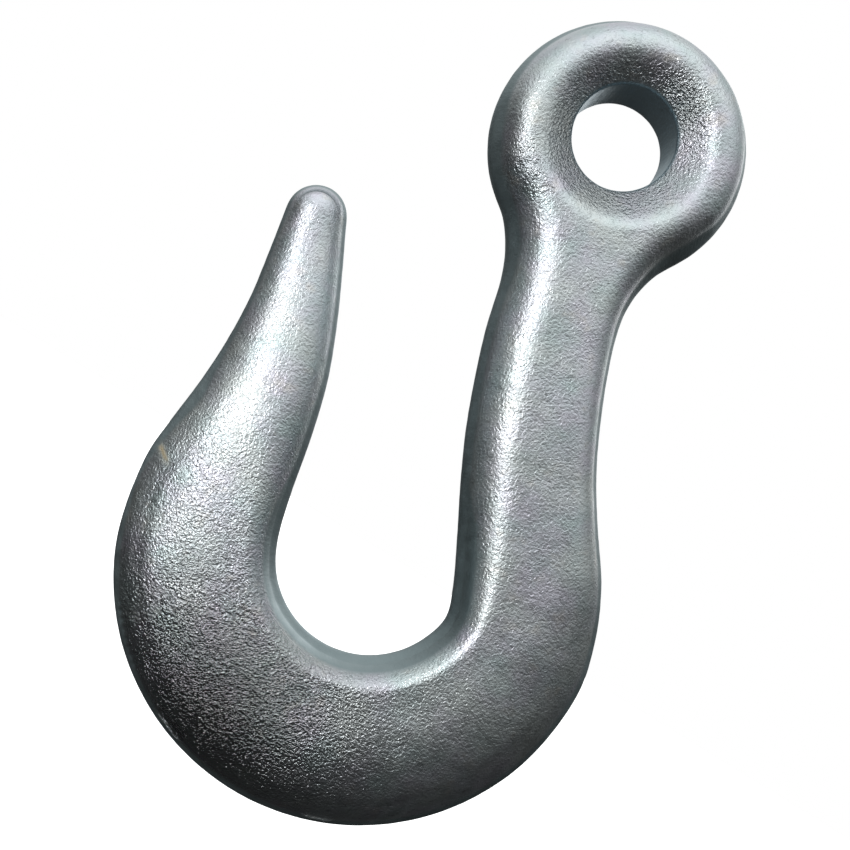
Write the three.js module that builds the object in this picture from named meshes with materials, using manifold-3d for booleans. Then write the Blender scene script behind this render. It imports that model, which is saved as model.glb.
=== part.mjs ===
// Forged steel eye hook: one drop forging with a pierced eye, a flat-cheeked shank,
// a round bowl and a blunt tapering point.
// Millimetres. The hook hangs in the XZ plane with its thickness along Y. The origin is the
// centre of the eye's hole, +Z runs up the load line, and the point is on the -X side.

import * as THREE from 'three';
import { LoftGeometry } from 'three/addons/geometries/LoftGeometry.js';
import { mergeVertices } from 'three/addons/utils/BufferGeometryUtils.js';
import Module from 'manifold-3d';

const wasm = await Module();
wasm.setup();

// Driving dimensions
const HALF_THICKNESS = 8.5; // from the parting plane to either cheek
const EYE = { x: 0.4, z: -0.9, radius: 21.9 }; // the hole is pierced a little off its centre
const HOLE_RADIUS = 8.75;
const DISH_HALF_LENGTH = 4.7; // height of the dish where a hole on the eye's centre would meet it
const CREST_RADIUS = 15.3; // the highest ring of the eye, between its dish and its rounded rim
const DISH_ROLL = 0.35; // how gently the cone of the dish rolls over into the crest
const DISH_REACH = 1.35; // how far in the dish goes, as a share of the way from crest to hole
const BOWL_INNER = { x: 1.4, z: -82.3, radius: 16.15 };
const BOWL_OUTER = { x: 1.5, z: -85.9, radius: 42 };
const TIP = { x: -37.3, z: -37.2, radius: 5.3, lean: 18 }; // lean from upright, in degrees
const TIP_EDGE_SHARE = 0.97; // how much of the tip's half width is rounded edge
const TIP_DEPTH_RATIO = 1; // the tip's half thickness over its half width
const FLASH_HALF_HEIGHT = 1.0; // the upright trimmed land round the whole outline
const FLASH_PROUD = 1.2; // how far that land stands out from the die walls
const BEVEL_HEIGHT = 3.2; // where the bevel from the land meets the die wall
const WIDE_BEVEL_HEIGHT = 1.7; // the same where the edge is wide, round the outside of the bowl
const WIDE_EDGE = [8, 16]; // widths between which the bevel goes from one height to the other
const EDGE_POWER = 2.2; // 2 is an elliptical edge, more is squarer
const EDGE_START = 0.9; // less than 1, so that an edge isn't upright at its foot

// Fineness of the solid
const BOWL_STEPS = 8;
const EDGE_STEPS = 5;
const STATIONS = 60;
const EYE_SEGMENTS = 60;
const DISH_STEPS = 6;

const radians = THREE.MathUtils.degToRad;

// Points of one rounded edge, from the top of the bevel up to the cheek.
function edgePoints(width, height) {
  const points = [];
  const first = Math.acos(EDGE_START ** (EDGE_POWER / 2));
  const foot = Math.sin(first) ** (2 / EDGE_POWER);
  for (let i = 0; i <= EDGE_STEPS; i++) {
    const angle = THREE.MathUtils.lerp(first, Math.PI / 2, i / EDGE_STEPS);
    const across = 1 - Math.cos(angle) ** (2 / EDGE_POWER) / EDGE_START;
    const rise = (Math.sin(angle) ** (2 / EDGE_POWER) - foot) / (1 - foot);
    points.push(new THREE.Vector2(width * across, height * rise));
  }
  return points;
}

function bevelHeight(edgeWidth) {
  const wide = THREE.MathUtils.smoothstep(edgeWidth, ...WIDE_EDGE);
  return THREE.MathUtils.lerp(BEVEL_HEIGHT, WIDE_BEVEL_HEIGHT, wide);
}

// A pair is one place along the hook: a point on the inner outline, the point across from it
// on the outer outline, the widths of the two rounded edges, and half the thickness.
function pair(inner, outer, edgeIn, edgeOut, half = HALF_THICKNESS) {
  return {
    inner: new THREE.Vector3(inner[0], 0, inner[1]),
    outer: new THREE.Vector3(outer[0], 0, outer[1]),
    section: new THREE.Vector3(edgeIn, edgeOut, half),
  };
}

function shankPairs() {
  return [
    pair([-12.6, -10.6], [16.9, -5.6], 7.0, 6.5),
    pair([-13.5, -17.1], [19.2, -11.1], 7.2, 6.5),
    pair([-10.0, -20.6], [17.1, -16.0], 8.2, 6.5),
    pair([-7.1, -24.6], [16.1, -20.8], 9.0, 6.0),
    pair([-5.0, -29.2], [16.4, -25.7], 9.2, 6.0),
    pair([-2.4, -38.9], [19.5, -35.2], 9.2, 6.0),
    pair([2.8, -53.0], [25.9, -48.8], 9.2, 6.0),
    pair([7.1, -62.1], [31.3, -57.2], 9.0, 7.0),
    pair([11.8, -70.9], [37.1, -65.4], 8.0, 9.5),
    pair([15.8, -78.8], [41.1, -73.7], 6.5, 14),
  ];
}

function onCircle(circle, degrees) {
  const angle = radians(degrees);
  return [circle.x + circle.radius * Math.cos(angle), circle.z + circle.radius * Math.sin(angle)];
}

// The bowl is two arcs that aren't concentric, so the bar is deepest at the bottom.
function bowlPairs() {
  const pairs = [];
  for (let i = 0; i <= BOWL_STEPS; i++) {
    const share = i / BOWL_STEPS;
    const inner = onCircle(BOWL_INNER, THREE.MathUtils.lerp(-5, -160, share));
    const outer = onCircle(BOWL_OUTER, THREE.MathUtils.lerp(3, -178, share));
    pairs.push(pair(inner, outer, 5.0, THREE.MathUtils.lerp(18, 20, share)));
  }
  return pairs;
}

function pointPairs() {
  return [
    pair([-16.1, -79.6], [-40.1, -79.7], 6.0, 17.5, 8.3),
    pair([-18.1, -70.1], [-39.3, -71.1], 7.0, 14.5, 8.0),
    pair([-20.8, -60.2], [-39.1, -63.1], 7.0, 11.5, 7.4),
    pair([-24.6, -50.9], [-39.6, -54.8], 6.0, 9.2, 6.6),
    pair([-28.5, -42.9], [-40.8, -47.3], 5.2, 7.2, 5.8),
  ];
}

// The end of the point is round in both directions.
function tipPairs() {
  const lean = radians(TIP.lean);
  return [0, 30, 52, 68, 80, 87].map((degrees) => {
    const ahead = TIP.radius * Math.sin(radians(degrees));
    const aside = TIP.radius * Math.cos(radians(degrees));
    const x = TIP.x - ahead * Math.sin(lean);
    const z = TIP.z + ahead * Math.cos(lean);
    const inner = [x + aside * Math.cos(lean), z + aside * Math.sin(lean)];
    const outer = [x - aside * Math.cos(lean), z - aside * Math.sin(lean)];
    const edge = TIP_EDGE_SHARE * aside;
    return pair(inner, outer, edge, edge, TIP_DEPTH_RATIO * aside);
  });
}

// One closed cross-section of the bar, from the inner flash line over the +Y cheek
// to the outer flash line and back under the -Y cheek.
function crossSection(inner, outer, section) {
  const width = inner.distanceTo(outer);
  const fade = Math.min(1, section.z / HALF_THICKNESS);
  const land = FLASH_HALF_HEIGHT * fade;
  const proud = FLASH_PROUD * fade;
  const bevelIn = bevelHeight(section.x) * fade;
  const bevelOut = bevelHeight(section.y) * fade;
  const edgeIn = edgePoints(section.x - proud, section.z - bevelIn);
  const edgeOut = edgePoints(section.y - proud, section.z - bevelOut).reverse();
  const upper = [
    new THREE.Vector2(0, land),
    ...edgeIn.map((p) => new THREE.Vector2(proud + p.x, bevelIn + p.y)),
    ...edgeOut.map((p) => new THREE.Vector2(width - proud - p.x, bevelOut + p.y)),
    new THREE.Vector2(width, land),
  ];
  const lower = upper.map((p) => new THREE.Vector2(p.x, -p.y)).reverse();
  const across = outer.clone().sub(inner).normalize();
  return [...upper, ...lower].map((p) => {
    const point = inner.clone().addScaledVector(across, p.x);
    point.y = p.y;
    return point;
  });
}

function barGeometry() {
  const pairs = [...shankPairs(), ...bowlPairs(), ...pointPairs(), ...tipPairs()];
  const curve = (key) => {
    return new THREE.CatmullRomCurve3(pairs.map((p) => p[key]), false, 'centripetal');
  };
  const inner = curve('inner');
  const outer = curve('outer');
  const section = curve('section');
  const sections = [];
  for (let i = 0; i <= STATIONS; i++) {
    const t = i / STATIONS;
    sections.push(crossSection(inner.getPoint(t), outer.getPoint(t), section.getPoint(t)));
  }
  return new LoftGeometry(sections, { closed: true, capStart: true, capEnd: true });
}

// The eye before piercing: a disc with rounded edges and the flash line round its rim.
function eyeBlankGeometry() {
  const wall = EYE.radius - FLASH_PROUD;
  const edge = edgePoints(wall - CREST_RADIUS, HALF_THICKNESS - BEVEL_HEIGHT);
  const upper = [
    new THREE.Vector2(EYE.radius, FLASH_HALF_HEIGHT),
    ...edge.map((p) => new THREE.Vector2(wall - p.x, BEVEL_HEIGHT + p.y)),
    new THREE.Vector2(0, HALF_THICKNESS),
  ];
  const lower = upper.map((p) => new THREE.Vector2(p.x, -p.y)).reverse();
  return new THREE.LatheGeometry([...lower, ...upper], EYE_SEGMENTS).translate(EYE.x, 0, EYE.z);
}

// How far the dish has fallen at a share of the way in from the crest to the hole:
// a hyperbola, level at the crest and nearly a cone at the hole.
function dishFall(share) {
  return (Math.hypot(share, DISH_ROLL) - DISH_ROLL) / (Math.hypot(1, DISH_ROLL) - DISH_ROLL);
}

// The dish forged into each end of the eye, down to a foot that the hole takes away.
function dishGeometry() {
  const clear = HALF_THICKNESS + 5;
  const upper = [];
  for (let i = 0; i <= DISH_STEPS; i++) {
    const share = DISH_REACH * (1 - i / DISH_STEPS);
    const radius = THREE.MathUtils.lerp(CREST_RADIUS, HOLE_RADIUS, share);
    const height = THREE.MathUtils.lerp(HALF_THICKNESS, DISH_HALF_LENGTH, dishFall(share));
    upper.push(new THREE.Vector2(radius, height));
  }
  upper.push(new THREE.Vector2(CREST_RADIUS, clear));
  upper.push(new THREE.Vector2(0, clear));
  const lower = upper.map((p) => new THREE.Vector2(p.x, -p.y)).reverse();
  return new THREE.LatheGeometry([...lower, ...upper], EYE_SEGMENTS).translate(EYE.x, 0, EYE.z);
}

function holeGeometry() {
  return new THREE.CylinderGeometry(HOLE_RADIUS, HOLE_RADIUS, 4 * HALF_THICKNESS, EYE_SEGMENTS);
}

function toSolid(geometry) {
  const bare = new THREE.BufferGeometry();
  bare.setAttribute('position', geometry.attributes.position);
  bare.setIndex(geometry.index);
  const merged = mergeVertices(bare, 1e-4);
  const mesh = new wasm.Mesh({
    numProp: 3,
    vertProperties: new Float32Array(merged.attributes.position.array),
    triVerts: new Uint32Array(merged.index.array),
  });
  return new wasm.Manifold(mesh);
}

function toGeometry(solid) {
  const mesh = solid.getMesh();
  const geometry = new THREE.BufferGeometry();
  geometry.setAttribute('position', new THREE.BufferAttribute(mesh.vertProperties, 3));
  geometry.setIndex(new THREE.BufferAttribute(mesh.triVerts, 1));
  geometry.computeVertexNormals();
  return geometry;
}

function forging() {
  const blank = toSolid(barGeometry()).add(toSolid(eyeBlankGeometry()));
  const solid = blank.subtract(toSolid(dishGeometry())).subtract(toSolid(holeGeometry()));
  const zincPlate = new THREE.MeshStandardMaterial({
    color: 0x9aa4a8,
    roughness: 0.42,
    metalness: 0.9,
  });
  const mesh = new THREE.Mesh(toGeometry(solid), zincPlate);
  mesh.name = 'hook_forging';
  return mesh;
}

const group = new THREE.Group();
group.add(forging());

export default group;
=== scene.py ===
"""Looks of the forged eye hook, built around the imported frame. Blender 4.5, metres.

The forging's own sizes are in millimetres, in the frame's axes: the hook hangs in the XZ plane,
its thickness runs along Y, and the centre of the eye's hole is the origin. A point in the plane of the
hook is a row (x, z). Every side of the surface is built from the outline inwards.
"""

import math

import bmesh
import bpy
import numpy as np
from mathutils import Matrix, Vector, geometry, noise


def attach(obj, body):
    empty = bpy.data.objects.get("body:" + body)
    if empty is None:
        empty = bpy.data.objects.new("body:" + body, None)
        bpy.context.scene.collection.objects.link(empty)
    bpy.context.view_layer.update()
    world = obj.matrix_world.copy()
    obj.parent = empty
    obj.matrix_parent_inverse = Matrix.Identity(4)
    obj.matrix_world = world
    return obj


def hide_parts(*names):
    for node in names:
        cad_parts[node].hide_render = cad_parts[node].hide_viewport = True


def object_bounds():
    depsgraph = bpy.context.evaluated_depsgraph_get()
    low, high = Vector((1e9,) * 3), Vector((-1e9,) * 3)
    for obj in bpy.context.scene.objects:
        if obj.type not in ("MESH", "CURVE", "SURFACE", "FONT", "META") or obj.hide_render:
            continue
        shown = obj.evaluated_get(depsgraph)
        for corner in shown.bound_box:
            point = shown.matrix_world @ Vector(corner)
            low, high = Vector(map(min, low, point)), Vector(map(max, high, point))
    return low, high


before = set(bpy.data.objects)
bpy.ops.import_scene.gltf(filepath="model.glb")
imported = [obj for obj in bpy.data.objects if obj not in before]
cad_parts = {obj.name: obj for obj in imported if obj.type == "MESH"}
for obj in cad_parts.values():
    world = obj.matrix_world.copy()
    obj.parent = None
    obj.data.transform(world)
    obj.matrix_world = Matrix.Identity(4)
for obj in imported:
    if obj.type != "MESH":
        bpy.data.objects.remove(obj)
cad_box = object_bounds()

MM = 0.001

# The forging, as in the frame. A circle is x, z, radius.
HALF_THICKNESS = 8.5
EYE = (0.4, -0.9, 21.9)
HOLE_RADIUS = 8.75
DISH_HALF_LENGTH = 4.7  # height of the dish where a hole on the eye's centre would meet it
CREST_RADIUS = 15.3
DISH_ROLL = 0.35  # how gently the cone of the dish rolls over into the crest
BOWL_INNER = (1.4, -82.3, 16.15)
BOWL_OUTER = (1.5, -85.9, 42.0)
TIP = (-37.3, -37.2, 5.3)
TIP_LEAN = math.radians(18)
TIP_EDGE_SHARE = 0.97  # how much of the tip's half width is rounded edge
FLASH_PROUD = 1.2
MOST_BEVEL = 0.5  # the bevel's height at most, as a share of the half thickness
BEVEL_HEIGHTS = (3.2, 1.7)  # where the bevel meets the die wall, for narrow and wide edges
WIDE_EDGE = (8.0, 16.0)  # the bevel goes from one height to the other between these widths
EDGE_POWER = 2.2  # 2 is an elliptical edge, more is squarer
EDGE_START = 0.9  # less than 1, so that an edge isn't upright at its foot

# Places along the bar: inner x, inner z, outer x, outer z, inner edge, outer edge, half thickness
SHANK = [
    (-12.6, -10.6, 16.9, -5.6, 7.0, 6.5, 8.5),
    (-13.5, -17.1, 19.2, -11.1, 7.2, 6.5, 8.5),
    (-10.0, -20.6, 17.1, -16.0, 8.2, 6.5, 8.5),
    (-7.1, -24.6, 16.1, -20.8, 9.0, 6.0, 8.5),
    (-5.0, -29.2, 16.4, -25.7, 9.2, 6.0, 8.5),
    (-2.4, -38.9, 19.5, -35.2, 9.2, 6.0, 8.5),
    (2.8, -53.0, 25.9, -48.8, 9.2, 6.0, 8.5),
    (7.1, -62.1, 31.3, -57.2, 9.0, 7.0, 8.5),
    (11.8, -70.9, 37.1, -65.4, 8.0, 9.5, 8.5),
    (15.8, -78.8, 41.1, -73.7, 6.5, 14.0, 8.5),
]
POINT = [
    (-16.1, -79.6, -40.1, -79.7, 6.0, 17.5, 8.3),
    (-18.1, -70.1, -39.3, -71.1, 7.0, 14.5, 8.0),
    (-20.8, -60.2, -39.1, -63.1, 7.0, 11.5, 7.4),
    (-24.6, -50.9, -39.6, -54.8, 6.0, 9.2, 6.6),
    (-28.5, -42.9, -40.8, -47.3, 5.2, 7.2, 5.8),
]
BOWL_STEPS = 8
BOWL_INNER_SWEEP = (-5, -160)
BOWL_OUTER_SWEEP = (3, -178)
BOWL_EDGE_OUT = (18, 20)
BOWL_EDGE_IN = 5.0

# Fineness of the surface
OUTLINE_STEP = 0.5
CURVE_STEPS = 24
TIP_STEPS = 25
EYE_STEPS = 200
CHEEK_SPACING = 0.56
CHEEK_CLEARANCE = 0.6 * CHEEK_SPACING
HOLE_STEPS = 120
HOLE_WALL = (0, 0.15, 0.3, 0.45, 0.6, 0.75, 0.87, 0.95)  # rows up the hole, as shares of its height
HOLE_MARGIN = (0.12, *np.linspace(0.4, 3.2, 7))  # rows in the dish, as distances from the hole
WALL_ROWS = 10
WALL_REACH = 4.0  # how far in from the flash line the regular rows run
WALL_MOST = 0.42  # the same at most, as a share of the edge
WALL_FIRST = 0.004  # where the first row is, as a share of the edge
WALL_CROWDING = 2.2  # how much closer the rows lie near the flash line
PLACE_ROUNDING = 0.8  # how far the outline is smoothed along its length
EDGE_ROUNDING = 2.5  # the same for its edge widths and thickness
TINY = 1e-6
COMPARED_AT_ONCE = 4000

# The trimmed flash: shares of its width inwards and of its height upwards
FLASH_SHAPE = (
    (0, 0), (0.01, 0.13), (0.05, 0.24), (0.16, 0.36),
    (0.36, 0.51), (0.58, 0.67), (0.80, 0.83), (0.97, 0.97),
)
FLASH_WANDER = 0.13  # how much its width varies over 8 mm, as a share
FLASH_NICKS = 0.03  # and over 3 mm

# Where the trimmed flash is wider or narrower: x, z, extra width, reach
FLASH_CHANGES = [
    (-19.6, -9.1, 0.7, 9.0),
    (-8.6, -24.1, 0.7, 8.0),
    (18.9, -10.1, 0.9, 8.0),
    (-39.8, -74.1, 1.2, 7.0),
    (-40.1, -91.1, -0.5, 6.0),
]

# Marks on the -Y side. A place is x, z, and a line is two places.
RUST_SPOT = ((-39.3, -84.2), (-36.9, -86.0))
RUST_WIDTH = 0.55
PIT_ROW = ((-30.2, -109.3), (-21.6, -115.7))
PIT_COUNT = 7
PIT_DEPTH = 0.28
BURRS = [((-16.2, -121.1), (-8.5, -124.1)), ((13.5, -125.6), (19.6, -122.4))]
BURR_HEIGHT = 0.5
BURR_WIDTH = 0.22
BESIDE_LINE = 6.0  # how far from its line a row of pits or a burr may be
NECK_LAPS = (-11.1, -12.6)
NECK_REACH = 6.0
LAP_DEPTH = 0.16
LEFT_BOWL = (-28.6, -87.1)
LEFT_REACH = 16.0
LOW_BOWL = (-8.0, -117.0)
LOW_REACH = 25.0
# The patch in the dish faces down and left: coarser grain, laps and painted shade
DISH_PATCH = (4.9, 10.5)
PATCH_REACH = 5.0
TIP_TOP = (-38.9, -32.4)
TIP_REACH = 5.5
GROOVE_DEPTH = 0.3
GROOVE_WIDTH = 0.28
GROOVE_INSET = 0.8  # how far the groove round the tip lies inside the die wall
REACH_PER_SPREAD = 1.6  # a mark's reach over its standard deviation

# Unevenness all over, in millimetres
SWELLS = 0.10
RIPPLES = 0.05
GRAIN = 0.012
COARSE_GRAIN = 0.02
SHEAR_LINES = 0.025
SMOOTH_BAND = 1.3  # how far the smooth wall inside the bowl runs in from the die wall


def circle_point(circle, degrees):
    angle = math.radians(degrees)
    x, z, radius = circle
    return x + radius * math.cos(angle), z + radius * math.sin(angle)


def bowl_stations():
    rows = []
    for i in range(BOWL_STEPS + 1):
        share = i / BOWL_STEPS
        inner = circle_point(BOWL_INNER, np.interp(share, (0, 1), BOWL_INNER_SWEEP))
        outer = circle_point(BOWL_OUTER, np.interp(share, (0, 1), BOWL_OUTER_SWEEP))
        edge_out = np.interp(share, (0, 1), BOWL_EDGE_OUT)
        rows.append((*inner, *outer, BOWL_EDGE_IN, edge_out, HALF_THICKNESS))
    return rows


def smooth_curve(points):
    """A centripetal Catmull-Rom curve through rows whose first two columns are the place."""
    points = np.vstack([2 * points[0] - points[1], points, 2 * points[-1] - points[-2]])
    hops = np.linalg.norm(np.diff(points[:, :2], axis=0), axis=1)
    knots = np.concatenate([[0], np.cumsum(np.sqrt(hops))])
    spans = []
    for i in range(1, len(points) - 2):
        p, k = points[i - 1:i + 3], knots[i - 1:i + 3]
        t = np.linspace(k[1], k[2], CURVE_STEPS, endpoint=False)[:, None]
        a = [((k[j + 1] - t) * p[j] + (t - k[j]) * p[j + 1]) / (k[j + 1] - k[j]) for j in range(3)]
        b = [((k[j + 2] - t) * a[j] + (t - k[j]) * a[j + 1]) / (k[j + 2] - k[j]) for j in range(2)]
        spans.append(((k[2] - t) * b[0] + (t - k[1]) * b[1]) / (k[2] - k[1]))
    return np.vstack([*spans, points[-2]])


def from_eye(points):
    """Distance of points in the plane from the centre of the eye's outline."""
    return np.hypot(points[:, 0] - EYE[0], points[:, 1] - EYE[1])


def tip_arc(side):
    """Quarter of the round tip, from the bar to the apex, on the inner (+1) or outer (-1) side."""
    rows = []
    for degrees in np.linspace(0, 90, TIP_STEPS):
        ahead = TIP[2] * math.sin(math.radians(degrees))
        aside = side * TIP[2] * math.cos(math.radians(degrees))
        x = TIP[0] - ahead * math.sin(TIP_LEAN) + aside * math.cos(TIP_LEAN)
        z = TIP[1] + ahead * math.cos(TIP_LEAN) + aside * math.sin(TIP_LEAN)
        rows.append((x, z, TIP_EDGE_SHARE * TIP[2], TIP[2]))
    return np.array(rows)


def rail(side):
    """One side of the bar, eye to tip: rows of x, z, edge width and half thickness."""
    stations = np.array([*SHANK, *bowl_stations(), *POINT])
    columns = (0, 1, 4, 6) if side > 0 else (2, 3, 5, 6)
    arc = tip_arc(side)
    curve = smooth_curve(np.vstack([stations[:, columns], arc[:1]]))
    return np.vstack([curve[from_eye(curve) > EYE[2]], arc[1:]])


def soften(values, reach):
    """Averages a closed loop of values over about reach millimetres."""
    for _ in range(round(2 * (reach / OUTLINE_STEP) ** 2)):
        values = (np.roll(values, 1, axis=0) + 2 * values + np.roll(values, -1, axis=0)) / 4
    return values


def loop_noise(points, size, seed):
    """Smooth noise from -1 to 1 at points in the plane, with features of about that size."""
    return np.array([noise.noise(Vector((x / size, z / size, seed))) for x, z in points[:, :2]])


def blob(points, centre, reach):
    """1 at the centre, fading smoothly to 0 past reach."""
    gap = points[:, :2] - np.array(centre)
    return np.exp(-(gap ** 2).sum(1) / (2 * (reach / REACH_PER_SPREAD) ** 2))


def step(values, low, high):
    """0 below low, 1 above high, and smooth between them."""
    share = np.clip((values - low) / (high - low), 0, 1)
    return share * share * (3 - 2 * share)


class Outline:
    """The closed outline at the parting plane, with what the forging does beside each point."""

    def __init__(self):
        inner, outer = rail(+1), rail(-1)
        start = math.atan2(outer[0, 1] - EYE[1], outer[0, 0] - EYE[0])
        end = math.atan2(inner[0, 1] - EYE[1], inner[0, 0] - EYE[0]) + math.tau
        angles = np.linspace(start, end, EYE_STEPS)[1:-1]
        eye = np.empty((len(angles), 4))
        eye[:, 0] = EYE[0] + EYE[2] * np.cos(angles)
        eye[:, 1] = EYE[1] + EYE[2] * np.sin(angles)
        eye[:, 2] = EYE[2] - CREST_RADIUS
        eye[:, 3] = HALF_THICKNESS
        loop = np.vstack([eye, inner, outer[::-1]])
        on_inner = np.concatenate([angles > math.pi / 2, np.ones(len(inner)), np.zeros(len(outer))])
        loop = np.column_stack([loop, on_inner])
        closed = np.vstack([loop, loop[:1]])
        hops = np.linalg.norm(np.diff(closed[:, :2], axis=0), axis=1)
        length = np.concatenate([[0], np.cumsum(hops)])
        count = round(length[-1] / OUTLINE_STEP)
        at = np.arange(count) * length[-1] / count
        even = np.column_stack([np.interp(at, length, column) for column in closed.T])
        self.place = soften(even[:, :2], PLACE_ROUNDING)
        self.edge = soften(even[:, 2], EDGE_ROUNDING)
        self.half = soften(even[:, 3], EDGE_ROUNDING)
        self.inner = even[:, 4] > 0.5
        along = np.roll(self.place, -1, axis=0) - np.roll(self.place, 1, axis=0)
        self.along = along / np.linalg.norm(along, axis=1)[:, None]
        self.inward = np.column_stack([-self.along[:, 1], self.along[:, 0]])
        fade = np.minimum(1, self.half / HALF_THICKNESS)
        wander = 1 + FLASH_WANDER * loop_noise(self.place, 8, 2.0)
        wander += FLASH_NICKS * loop_noise(self.place, 3, 9.0)
        self.proud = FLASH_PROUD * fade * wander
        for x, z, extra, reach in FLASH_CHANGES:
            self.proud += extra * blob(self.place, (x, z), reach)
        bevel = np.interp(step(self.edge, *WIDE_EDGE), (0, 1), BEVEL_HEIGHTS) / FLASH_PROUD
        self.land = np.minimum(bevel * self.proud, MOST_BEVEL * self.half)
        self.edge = self.edge - self.proud


def wall_height(land, half, closeness):
    """Height of the rounded edge where closeness is 1 at its foot and 0 at the cheek."""
    foot = (1 - EDGE_START ** EDGE_POWER) ** (1 / EDGE_POWER)
    rise = (1 - (EDGE_START * np.clip(closeness, 0, 1)) ** EDGE_POWER) ** (1 / EDGE_POWER)
    return land + (half - land) * (rise - foot) / (1 - foot)


def rim_rows(outline):
    """Rows round the whole outline as (offset inwards, height), from the parting plane upwards."""
    proud, land, edge, half = outline.proud, outline.land, outline.edge, outline.half
    rows = [(proud * across, land * up) for across, up in FLASH_SHAPE]
    reach = np.minimum(WALL_MOST, WALL_REACH / edge)
    for share in np.linspace(0, 1, WALL_ROWS + 1):
        offset = WALL_FIRST + (reach - WALL_FIRST) * share ** WALL_CROWDING
        rows.append((proud + edge * offset, wall_height(land, half, 1 - offset)))
    return rows


def dish_height(points):
    """Height of the dish round the eye's centre, level at the crest and nearly a cone below it."""
    share = np.clip((CREST_RADIUS - from_eye(points)) / (CREST_RADIUS - HOLE_RADIUS), 0, None)
    fall = (np.hypot(share, DISH_ROLL) - DISH_ROLL) / (math.hypot(1, DISH_ROLL) - DISH_ROLL)
    return HALF_THICKNESS - (HALF_THICKNESS - DISH_HALF_LENGTH) * fall


def hole_rows():
    """Rows round the pierced hole as arrays of (x, z, height), from the parting plane upwards."""
    angles = np.linspace(0, math.tau, HOLE_STEPS, endpoint=False)
    circle = np.column_stack([np.cos(angles), np.sin(angles)])
    brink = dish_height(HOLE_RADIUS * circle)
    rows = []
    for up in HOLE_WALL:
        rows.append(np.column_stack([HOLE_RADIUS * circle, brink * up]))
    for beyond in HOLE_MARGIN:
        place = (HOLE_RADIUS + beyond) * circle
        rows.append(np.column_stack([place, dish_height(place)]))
    return rows


def nearest(points, targets):
    """Index of the nearest target to each point, and the way from it to the point."""
    found = np.empty(len(points), int)
    for start in range(0, len(points), COMPARED_AT_ONCE):
        block = points[start:start + COMPARED_AT_ONCE]
        gaps = ((block[:, None] - targets[None]) ** 2).sum(2)
        found[start:start + COMPARED_AT_ONCE] = gaps.argmin(1)
    return found, points - targets[found]


def cheek_height(points, outline):
    """Height of the forged surface above the parting plane, between the rims."""
    closeness = np.zeros(len(points))
    weights = np.zeros(len(points))
    half = np.zeros(len(points))
    land = np.zeros(len(points))
    for side in (outline.inner, ~outline.inner):
        chosen = np.flatnonzero(side)
        found, way = nearest(points, outline.place[chosen])
        at = chosen[found]
        slip = (way * outline.along[at]).sum(1)
        distance = np.sqrt(np.maximum((way ** 2).sum(1) - slip ** 2, TINY))
        closeness = np.maximum(closeness, 1 - (distance - outline.proud[at]) / outline.edge[at])
        weights += 1 / distance
        half += outline.half[at] / distance
        land += outline.land[at] / distance
    height = wall_height(land / weights, half / weights, closeness)
    return np.minimum(height, dish_height(points))


def cheek_lattice(outline, rim_offset):
    """Evenly spread points strictly between the rim's last row and the hole's last row."""
    low, high = outline.place.min(0), outline.place.max(0)
    columns = np.arange(low[0], high[0], CHEEK_SPACING)
    points = []
    for j, z in enumerate(np.arange(low[1], high[1], CHEEK_SPACING * math.sqrt(0.75))):
        shift = CHEEK_SPACING * (j % 2) / 2
        points.append(np.column_stack([columns + shift, np.full(len(columns), z)]))
    points = np.vstack(points)
    at, way = nearest(points, outline.place)
    inside = (way * outline.inward[at]).sum(1) > rim_offset[at] + CHEEK_CLEARANCE
    outside_hole = np.hypot(*points.T) > HOLE_RADIUS + HOLE_MARGIN[-1] + CHEEK_CLEARANCE
    return points[inside & outside_hole]


def half_skin(outline):
    """One side of the forging: points (x, z, height), faces, and where the hole's points start."""
    rims = rim_rows(outline)
    holes = hole_rows()
    count = len(outline.place)
    points, faces = [], []
    for offset, height in rims:
        place = outline.place + outline.inward * np.broadcast_to(offset, count)[:, None]
        points.append(np.column_stack([place, height]))
    points.extend(holes)
    for row in range(len(rims) - 1):
        low, high = row * count, (row + 1) * count
        for i in range(count):
            j = (i + 1) % count
            faces.append((low + i, low + j, high + j, high + i))
    hole_first = len(rims) * count
    for row in range(len(holes) - 1):
        low, high = hole_first + row * HOLE_STEPS, hole_first + (row + 1) * HOLE_STEPS
        for i in range(HOLE_STEPS):
            j = (i + 1) % HOLE_STEPS
            faces.append((low + j, low + i, high + i, high + j))
    skin = np.vstack(points)

    # The cheek fills what lies between the last rim row and the last hole row
    rim_last, hole_last = (len(rims) - 1) * count, hole_first + (len(holes) - 1) * HOLE_STEPS
    lattice = cheek_lattice(outline, rims[-1][0])
    known = [*range(rim_last, rim_last + count), *range(hole_last, hole_last + HOLE_STEPS)]
    flat = [Vector(p) for p in np.vstack([skin[known, :2], lattice])]
    cheek, hole = list(range(count)), list(range(count, len(known)))
    made = geometry.delaunay_2d_cdt(flat, [], [cheek, hole], 1, TINY, True)
    names = known + list(range(len(skin), len(skin) + len(lattice)))
    skin = np.vstack([skin, np.column_stack([lattice, cheek_height(lattice, outline)])])
    origin = [names[source[0]] for source in made[3]]
    for triangle, inside in zip(made[2], made[5]):
        if inside == [0]:
            faces.append(tuple(origin[v] for v in triangle))
    return skin, faces, hole_first


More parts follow.
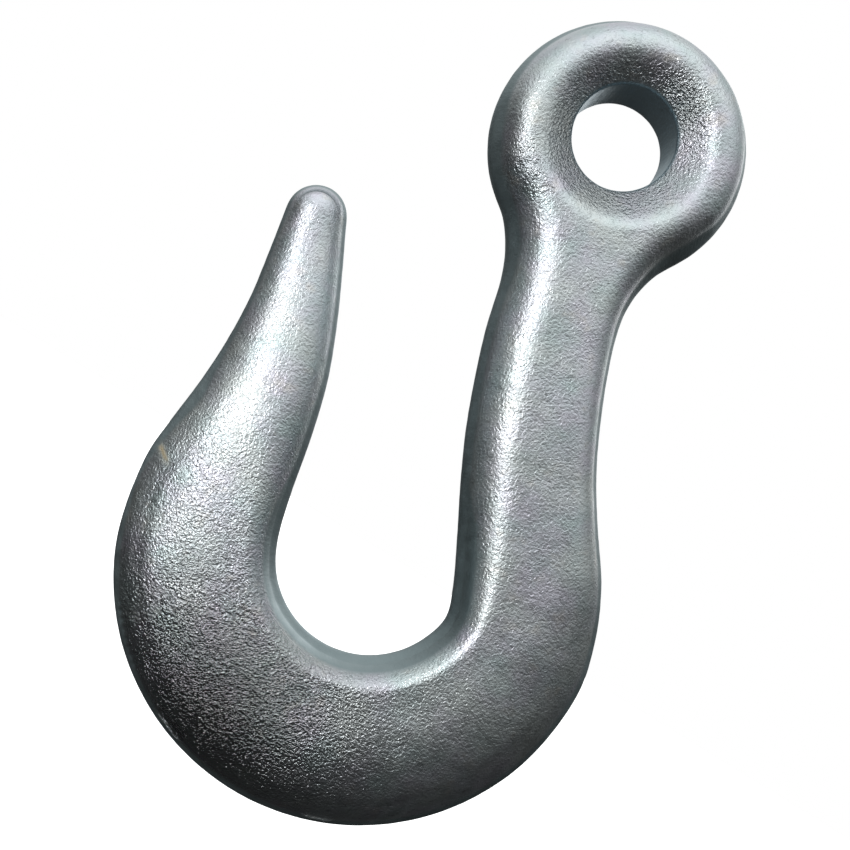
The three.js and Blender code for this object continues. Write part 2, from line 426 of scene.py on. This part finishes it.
def build_forging(outline):
    """The whole surface in metres, as a mesh object with both sides joined at the parting plane."""
    skin, faces, hole_first = half_skin(outline)
    shared = np.zeros(len(skin), bool)
    shared[:len(outline.place)] = True
    shared[hole_first:hole_first + HOLE_STEPS] = True
    back = np.arange(len(skin))
    back[~shared] = len(skin) + np.arange((~shared).sum())
    front = np.column_stack([skin[:, 0], -skin[:, 2], skin[:, 1]])
    rear = np.column_stack([skin[~shared, 0], skin[~shared, 2], skin[~shared, 1]])
    vertices = np.vstack([front, rear])
    rear_faces = [tuple(int(back[v]) for v in reversed(face)) for face in faces]
    mesh = bpy.data.meshes.new("eye_hook_forging")
    mesh.from_pydata((vertices * MM).tolist(), [], [*faces, *rear_faces])
    shape = bmesh.new()
    shape.from_mesh(mesh)
    bmesh.ops.recalc_face_normals(shape, faces=shape.faces)
    shape.to_mesh(mesh)
    shape.free()
    mesh.shade_smooth()
    piece = bpy.data.objects.new("eye_hook_forging", mesh)
    bpy.context.scene.collection.objects.link(piece)
    return piece


def field(points, size, seed):
    """Smooth noise in space from about -1 to 1, with features of about that size in millimetres."""
    shifted = points / size + seed
    return np.array([noise.noise(Vector(p)) for p in shifted])


def along_line(points, start, end):
    """Share of the way from start to end, and distance from that line, in the plane."""
    start, end = np.array(start), np.array(end)
    way = end - start
    share = ((points - start) @ way) / (way @ way)
    gap = points - start - np.clip(share, 0, 1)[:, None] * way
    return share, np.hypot(*gap.T)


def wall_depth(plane, outline):
    """How far in from the die wall each point in the plane is."""
    at, way = nearest(plane, outline.place)
    return (way * outline.inward[at]).sum(1) - outline.proud[at]


def surface_marks(points, depth):
    """Masks from 0 to 1 on the vertices: what each stretch of the surface has been through, and where
    shade is painted into the colour.
    """
    plane = points[:, [0, 2]]
    front = step(-points[:, 1], 0.5, 2.5)
    radius = np.hypot(*plane.T)
    band = SMOOTH_BAND * step(-np.hypot(*(plane - BOWL_INNER[:2]).T), -21, -17)
    trimmed = 1 - step(depth - band, -0.4, 0.35)
    pierced = 1 - step(radius, HOLE_RADIUS + 0.05, HOLE_RADIUS + 0.5)
    dish = 1 - step(from_eye(plane), 12, 14.5)
    patch = front * blob(plane, DISH_PATCH, PATCH_REACH)
    neck = front * blob(plane, NECK_LAPS, NECK_REACH)
    patchy = 0.5 + 0.5 * field(points, 7, 31.0)

    coarse = 0.3 * front * blob(plane, LEFT_BOWL, LEFT_REACH)
    coarse += 1.2 * front * blob(plane, LOW_BOWL, LOW_REACH + 1)
    coarse += 0.5 * patch + 0.5 * neck + 0.35 * dish
    coarse += 0.25 * (1 - front) * step(patchy, 0.3, 0.9)
    coarse = np.clip(coarse + 0.15 * patchy, 0, 1) * (1 - trimmed) * (1 - pierced)

    _, gap = along_line(plane, *RUST_SPOT)
    rust = front * np.exp(-((gap / RUST_WIDTH) ** 2)) * step(field(points, 0.9, 5.0), -0.6, 0.1)
    # Laps in the neck and a patch in the dish: dented in, and darkened in the colour as painted shade
    laps_and_shade = (0.6 * neck + 0.5 * patch) * step(field(points * (1, 1, 0.6), 1.3, 8.0), 0.15, 0.5)
    # A groove round the tip: cut in, and darkened in the colour as painted shade
    groove_and_shade = np.exp(-((depth - GROOVE_INSET) / GROOVE_WIDTH) ** 2)
    return {
        "trimmed": np.maximum(trimmed, pierced),
        "pierced": pierced,
        # Painted shade over the lower bowl, which faces down, and over the dish; these are also less
        # rough
        "shade_and_gloss": np.minimum(front * blob(plane, LOW_BOWL, LOW_REACH) + 0.4 * dish, 1),
        "coarse": coarse,
        "rust": rust,
        "laps_and_shade": laps_and_shade,
        "groove_and_shade": np.minimum(1.5 * front * blob(plane, TIP_TOP, TIP_REACH) * groove_and_shade, 1),
    }


def relief(points, depth, marks):
    """How far each vertex moves out along its normal, in millimetres."""
    plane = points[:, [0, 2]]
    front = points[:, 1] < 0
    forged = 1 - marks["trimmed"]
    moved = forged * (SWELLS * field(points, 10, 3.0) + RIPPLES * field(points, 4, 17.0))
    moved += forged * (GRAIN + COARSE_GRAIN * marks["coarse"]) * field(points, 1.25, 40.0)
    moved += SHEAR_LINES * marks["trimmed"] * field(points * (1, 0.25, 1), 1.5, 12.0)
    moved -= LAP_DEPTH * marks["laps_and_shade"] + GROOVE_DEPTH * marks["groove_and_shade"]

    share, gap = along_line(plane, *PIT_ROW)
    in_row = front & (share > 0) & (share < 1) & (gap < BESIDE_LINE)
    pits = np.maximum(0, np.cos(share * math.tau * PIT_COUNT + field(points, 3, 2.0)))
    pits *= step(depth, -0.7, -0.1) * (1 - step(depth, 0.5, 1.6))
    moved -= in_row * PIT_DEPTH * pits

    for burr in BURRS:
        share, gap = along_line(plane, *burr)
        ends = step(share, 0, 0.25) * (1 - step(share, 0.7, 1)) * (gap < BESIDE_LINE)
        moved += front * BURR_HEIGHT * ends * np.exp(-((depth + 0.05) / BURR_WIDTH) ** 2)
    return moved


def roughen(piece, outline):
    """Moves the surface as forging, trimming and handling left it, and keeps the masks on it."""
    mesh = piece.data
    count = len(mesh.vertices)
    place = np.empty(3 * count)
    normal = np.empty(3 * count)
    mesh.vertices.foreach_get("co", place)
    mesh.vertices.foreach_get("normal", normal)
    points = place.reshape(-1, 3) / MM
    depth = wall_depth(points[:, [0, 2]], outline)
    marks = surface_marks(points, depth)
    moved = relief(points, depth, marks)
    points = points + moved[:, None] * normal.reshape(-1, 3)
    mesh.vertices.foreach_set("co", (points * MM).ravel())
    for name, values in marks.items():
        mask = mesh.attributes.new(name, "FLOAT", "POINT")
        mask.data.foreach_set("value", values.astype(np.float32))
    mesh.update()


def node(tree, kind, inputs=None, **settings):
    """Adds a shader node. An input is a number, a colour or another node's output."""
    made = tree.nodes.new(kind)
    for name, value in settings.items():
        setattr(made, name, value)
    for name, value in (inputs or {}).items():
        if isinstance(value, bpy.types.NodeSocket):
            tree.links.new(value, made.inputs[name])
        else:
            made.inputs[name].default_value = value
    return made


def maths(tree, operation, first, second):
    """The output of a node that does one sum."""
    return node(tree, "ShaderNodeMath", {0: first, 1: second}, operation=operation).outputs[0]


def blend(tree, share, first, second, kind="MIX"):
    """The first colour at share 0 and the second, or what the kind makes of both, at 1."""
    made = node(tree, "ShaderNodeMix", data_type="RGBA", blend_type=kind)
    for slot, value in ((0, share), (6, first), (7, second)):
        if isinstance(value, bpy.types.NodeSocket):
            tree.links.new(value, made.inputs[slot])
        else:
            made.inputs[slot].default_value = value
    return made.outputs[2]


def ramp(tree, value, low, high, to_low=0.0, to_high=1.0):
    """A value from low to high, drawn straight onto another range and held at its ends."""
    inputs = {"Value": value, "From Min": low, "From Max": high, "To Min": to_low, "To Max": to_high}
    return node(tree, "ShaderNodeMapRange", inputs).outputs["Result"]


ZINC = (0.63, 0.67, 0.67, 1)
ZINC_COOL = (0.54, 0.62, 0.63, 1)
ZINC_VIOLET = (0.63, 0.62, 0.69, 1)
ZINC_WARM = (0.68, 0.64, 0.58, 1)
# The smooth trimmed band's own grey-teal, made darker than the zinc as painted shade on the side walls
TRIM_GREY_AND_SHADE = (0.31, 0.375, 0.39, 1)
# Painted shade: a dark grey laid over the lower bowl, which faces down, and over the dish
PAINTED_SHADE_GREY = (0.155, 0.148, 0.152, 1)
# The pierced wall's teal, darkened as painted shade inside the hole
HOLE_TEAL_AND_SHADE = (0.40, 0.50, 0.55, 1)
# Painted shade in the laps, on the patch in the dish and in the groove round the tip
LAP_SHADE = (0.20, 0.23, 0.25, 1)
RUST = (0.42, 0.33, 0.18, 1)
# How far the painted shade over the lower bowl and dish darkens the colour
PAINTED_SHADE_SHARE = 0.85
# How far the painted shade in the laps and on the dish patch darkens the colour
LAP_SHADE_SHARE = 0.75

# Roughness, and what each mark adds to it
ROUGHNESS = (0.37, 0.47)
COARSE_ROUGHER = -0.14
SHADE_AND_GLOSS_ROUGHER = -0.12
TRIM_ROUGHER = 0.08
RUST_ROUGHER = 0.4
RUST_LESS_METAL = 0.8

# Fine grain as bump, in millimetres: first where fine, then where coarse
WORM_HEIGHT = (0.105, 0.38)
GRIT_HEIGHT = (0.01, 0.13)
WORMS_LEFT_BY_TRIM = 0.2
SHEAR_HEIGHT = 0.05
SHEAR_STRETCH = (2.2, 0.22, 2.2)


def zinc_plate():
    """Dull zinc over a blasted forging: fine wormy grain, uneven tint, smoother where trimmed, and
    painted shade on the trimmed walls, in the hole, laps and tip groove, and over the lower bowl and
    dish.
    """
    material = bpy.data.materials.new("zinc_plate")
    material.use_nodes = True
    tree = material.node_tree
    shader = tree.nodes["Principled BSDF"]
    metres = node(tree, "ShaderNodeTexCoord").outputs["Object"]
    scaled = node(tree, "ShaderNodeVectorMath", {0: metres, "Scale": 1 / MM}, operation="SCALE")
    place = scaled.outputs[0]

    def mask(name):
        return node(tree, "ShaderNodeAttribute", attribute_name=name).outputs["Fac"]

    def grain(scale, detail=0.0, roughness=0.5, distortion=0.0, vector=place):
        inputs = {
            "Vector": vector, "Scale": scale, "Detail": detail,
            "Roughness": roughness, "Distortion": distortion,
        }
        return node(tree, "ShaderNodeTexNoise", inputs).outputs["Fac"]

    trimmed, coarse, rust, laps_and_shade = (mask(name) for name in ("trimmed", "coarse", "rust", "laps_and_shade"))
    pierced, shade_and_gloss, groove_and_shade = (mask(name) for name in ("pierced", "shade_and_gloss", "groove_and_shade"))

    tint = blend(tree, ramp(tree, grain(0.16, 3), 0.35, 0.65), ZINC_COOL, ZINC_VIOLET)
    moved = node(tree, "ShaderNodeVectorMath", {0: place, 1: (40, 0, 9)}, operation="ADD")
    patches = ramp(tree, grain(0.10, 4, vector=moved.outputs[0]), 0.42, 0.66)
    tint = blend(tree, patches, tint, ZINC)
    tint = blend(tree, ramp(tree, grain(0.30, 4), 0.60, 0.80, 0, 0.6), tint, ZINC_WARM)
    speckle = ramp(tree, grain(1.1, 2, 0.7), 0.30, 0.42, 0.72, 1.0)
    tint = blend(tree, 1.0, tint, speckle, "MULTIPLY")
    # Painted shade: the lower bowl and the dish are darkened towards a dark grey
    tint = blend(tree, maths(tree, "MULTIPLY", shade_and_gloss, PAINTED_SHADE_SHARE), tint, PAINTED_SHADE_GREY)
    # Painted shade on the trimmed walls: their own grey-teal, made darker
    tint = blend(tree, trimmed, tint, TRIM_GREY_AND_SHADE)
    # Inside the hole: teal darkened as painted shade
    tint = blend(tree, pierced, tint, HOLE_TEAL_AND_SHADE)
    # Painted shade in the laps and on the dish patch, then in the groove round the tip
    tint = blend(tree, maths(tree, "MULTIPLY", laps_and_shade, LAP_SHADE_SHARE), tint, LAP_SHADE)
    tint = blend(tree, groove_and_shade, tint, LAP_SHADE)
    tint = blend(tree, rust, tint, RUST)
    tree.links.new(tint, shader.inputs["Base Color"])

    roughness = ramp(tree, grain(0.45, 3), 0.3, 0.7, *ROUGHNESS)
    for mark, rougher in (
        (coarse, COARSE_ROUGHER), (shade_and_gloss, SHADE_AND_GLOSS_ROUGHER),
        (trimmed, TRIM_ROUGHER), (rust, RUST_ROUGHER),
    ):
        roughness = maths(tree, "ADD", roughness, maths(tree, "MULTIPLY", mark, rougher))
    tree.links.new(roughness, shader.inputs["Roughness"])
    metal = maths(tree, "SUBTRACT", 1.0, maths(tree, "MULTIPLY", rust, RUST_LESS_METAL))
    tree.links.new(metal, shader.inputs["Metallic"])

    worms = maths(tree, "SUBTRACT", grain(2.1, 1.5, 0.6, 0.5), 0.5)
    amount = ramp(tree, coarse, 0, 1, *WORM_HEIGHT)
    amount = maths(tree, "MULTIPLY", amount, ramp(tree, trimmed, 0, 1, 1.0, WORMS_LEFT_BY_TRIM))
    height = maths(tree, "MULTIPLY", worms, amount)
    grit = maths(tree, "SUBTRACT", grain(4.6, 1.0, 0.6), 0.5)
    grit = maths(tree, "MULTIPLY", grit, ramp(tree, coarse, 0.1, 1, *GRIT_HEIGHT))
    height = maths(tree, "ADD", height, grit)
    drawn = node(tree, "ShaderNodeVectorMath", {0: place, 1: SHEAR_STRETCH}, operation="MULTIPLY")
    shear = maths(tree, "SUBTRACT", grain(1.0, 2, vector=drawn.outputs[0]), 0.5)
    shear = maths(tree, "MULTIPLY", shear, trimmed)
    height = maths(tree, "ADD", height, maths(tree, "MULTIPLY", shear, SHEAR_HEIGHT))
    metres_high = maths(tree, "MULTIPLY", height, MM)
    bump = node(tree, "ShaderNodeBump", {"Strength": 1.0, "Distance": 1.0, "Height": metres_high})
    tree.links.new(bump.outputs[0], shader.inputs["Normal"])
    return material


outline = Outline()
hook = build_forging(outline)
roughen(hook, outline)
hook.data.materials.append(zinc_plate())
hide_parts("hook_forging")
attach(hook, "root")


# Camera: square on to the hook, with the load line leaning
LEAN = math.radians(31.68)
CAMERA_FOOT = (-17.46, -77.85)
CAMERA_DISTANCE = 204.4
SENSOR = 36.0
LENS = 50.8
CAMERA_SHIFT = (0.159, 0.065)
CLIP_START = 0.01


def add_camera():
    """The camera, with its own right and up leaning in the plane of the hook."""
    camera = bpy.data.objects.new("camera", bpy.data.cameras.new("camera"))
    bpy.context.scene.collection.objects.link(camera)
    camera.data.sensor_width = SENSOR
    camera.data.lens = LENS
    camera.data.shift_x, camera.data.shift_y = CAMERA_SHIFT
    right = Vector((math.cos(LEAN), 0, math.sin(LEAN)))
    up = Vector((-math.sin(LEAN), 0, math.cos(LEAN)))
    back = Vector((0, -1, 0))
    turn = Matrix((right, up, back)).transposed().to_4x4()
    place = Vector((CAMERA_FOOT[0], -CAMERA_DISTANCE, CAMERA_FOOT[1])) * MM
    camera.matrix_world = Matrix.Translation(place) @ turn
    camera.data.clip_start = CLIP_START
    bpy.context.scene.camera = camera


add_camera()

# Studio: white to the camera, and a soft grey room in the metal. The room's stops are how far a
# direction leans along an axis, from 0 to 1, and the brightness there. Lights and floor are in metres.
ROOM_UP = Vector((0, 0, 1))
ROOM_FRONT = Vector((0, -1, 0))
ROOM_RIGHT = Vector((1, 0, 0))
ROOM_HEIGHTS = (
    (0.0, 0.03), (0.38, 0.053), (0.46, 0.10), (0.567, 0.185), (0.64, 0.38), (0.75, 0.80), (1.0, 1.0),
)
ROOM_DEPTHS = ((0.0, 0.70), (0.28, 0.42), (0.50, 0.62), (0.70, 0.90), (1.0, 1.0))
ROOM_SIDES = ((0.0, 1.0), (0.50, 1.0), (0.68, 0.78), (1.0, 0.42))
ROOM_STRENGTH = 1.7
ROOM_TINT = (0.97, 1.0, 0.995, 1)
WHITE = (1, 1, 1, 1)
FLOOR_DROP = 0.17
FLOOR_REACH = 20.0
FLOOR_GREY = (0.85, 0.85, 0.85, 1)
FLOOR_ROUGHNESS = 0.9
FLOOR_GLOW = 0.85
KEY = {"aim": (-0.58, -0.82, -0.04), "away": 0.7, "size": 0.26, "watts": 1.8}
REAR_FILL = {"aim": (0.35, 0.85, 0.45), "away": 0.9, "size": 0.5, "watts": 0.8}


def room_share(tree, direction, axis, stops):
    """Brightness of the room by how far a direction leans along an axis."""
    dot = node(tree, "ShaderNodeVectorMath", {0: direction, 1: axis}, operation="DOT_PRODUCT")
    share = ramp(tree, dot.outputs["Value"], -1, 1)
    made = node(tree, "ShaderNodeValToRGB", {"Fac": share})
    scale = made.color_ramp.elements
    while len(scale) < len(stops):
        scale.new(0.5)
    for element, (place, level) in zip(scale, stops):
        element.position = place
        element.color = (level, level, level, 1)
    return made.outputs["Color"]


def add_room():
    """The world: the product of three falls of brightness in the metal, and white to the camera."""
    world = bpy.data.worlds.new("studio")
    bpy.context.scene.world = world
    world.use_nodes = True
    tree = world.node_tree
    tree.nodes.clear()
    direction = node(tree, "ShaderNodeTexCoord").outputs["Generated"]
    level = blend(
        tree, 1.0,
        room_share(tree, direction, ROOM_UP, ROOM_HEIGHTS),
        room_share(tree, direction, ROOM_FRONT, ROOM_DEPTHS),
        "MULTIPLY",
    )
    level = blend(tree, 1.0, level, room_share(tree, direction, ROOM_RIGHT, ROOM_SIDES), "MULTIPLY")
    level = blend(tree, 1.0, level, ROOM_TINT, "MULTIPLY")
    room = node(tree, "ShaderNodeBackground", {"Color": level, "Strength": ROOM_STRENGTH})
    white = node(tree, "ShaderNodeBackground", {"Color": WHITE, "Strength": 1.0})
    seen = node(tree, "ShaderNodeLightPath").outputs["Is Camera Ray"]
    both = node(tree, "ShaderNodeMixShader", {0: seen, 1: room.outputs[0], 2: white.outputs[0]})
    node(tree, "ShaderNodeOutputWorld", {"Surface": both.outputs[0]})


def add_light(name, aim, away, size, watts):
    """A square soft light that faces the middle of the hook."""
    light = bpy.data.objects.new(name, bpy.data.lights.new(name, "AREA"))
    bpy.context.scene.collection.objects.link(light)
    middle = (cad_box[0] + cad_box[1]) / 2
    aim = Vector(aim).normalized()
    light.location = middle + aim * away
    light.rotation_mode = "QUATERNION"
    light.rotation_quaternion = aim.to_track_quat("Z", "Y")
    light.data.size = size
    light.data.energy = watts


def add_floor():
    """A wide pale floor below the hook."""
    mesh = bpy.data.meshes.new("floor")
    low = cad_box[0].z - FLOOR_DROP
    square = ((-1, -1), (1, -1), (1, 1), (-1, 1))
    corners = [(x * FLOOR_REACH, y * FLOOR_REACH, low) for x, y in square]
    mesh.from_pydata(corners, [], [(0, 1, 2, 3)])
    floor = bpy.data.objects.new("floor", mesh)
    bpy.context.scene.collection.objects.link(floor)
    material = bpy.data.materials.new("pale_floor")
    material.use_nodes = True
    shader = material.node_tree.nodes["Principled BSDF"]
    shader.inputs["Base Color"].default_value = FLOOR_GREY
    shader.inputs["Roughness"].default_value = FLOOR_ROUGHNESS
    shader.inputs["Emission Color"].default_value = WHITE
    shader.inputs["Emission Strength"].default_value = FLOOR_GLOW
    mesh.materials.append(material)
    floor.visible_glossy = False
    floor.visible_diffuse = False


add_room()
add_floor()
add_light("key", **KEY)
add_light("rear_fill", **REAR_FILL)
bpy.context.scene.view_settings.view_transform = "Standard"
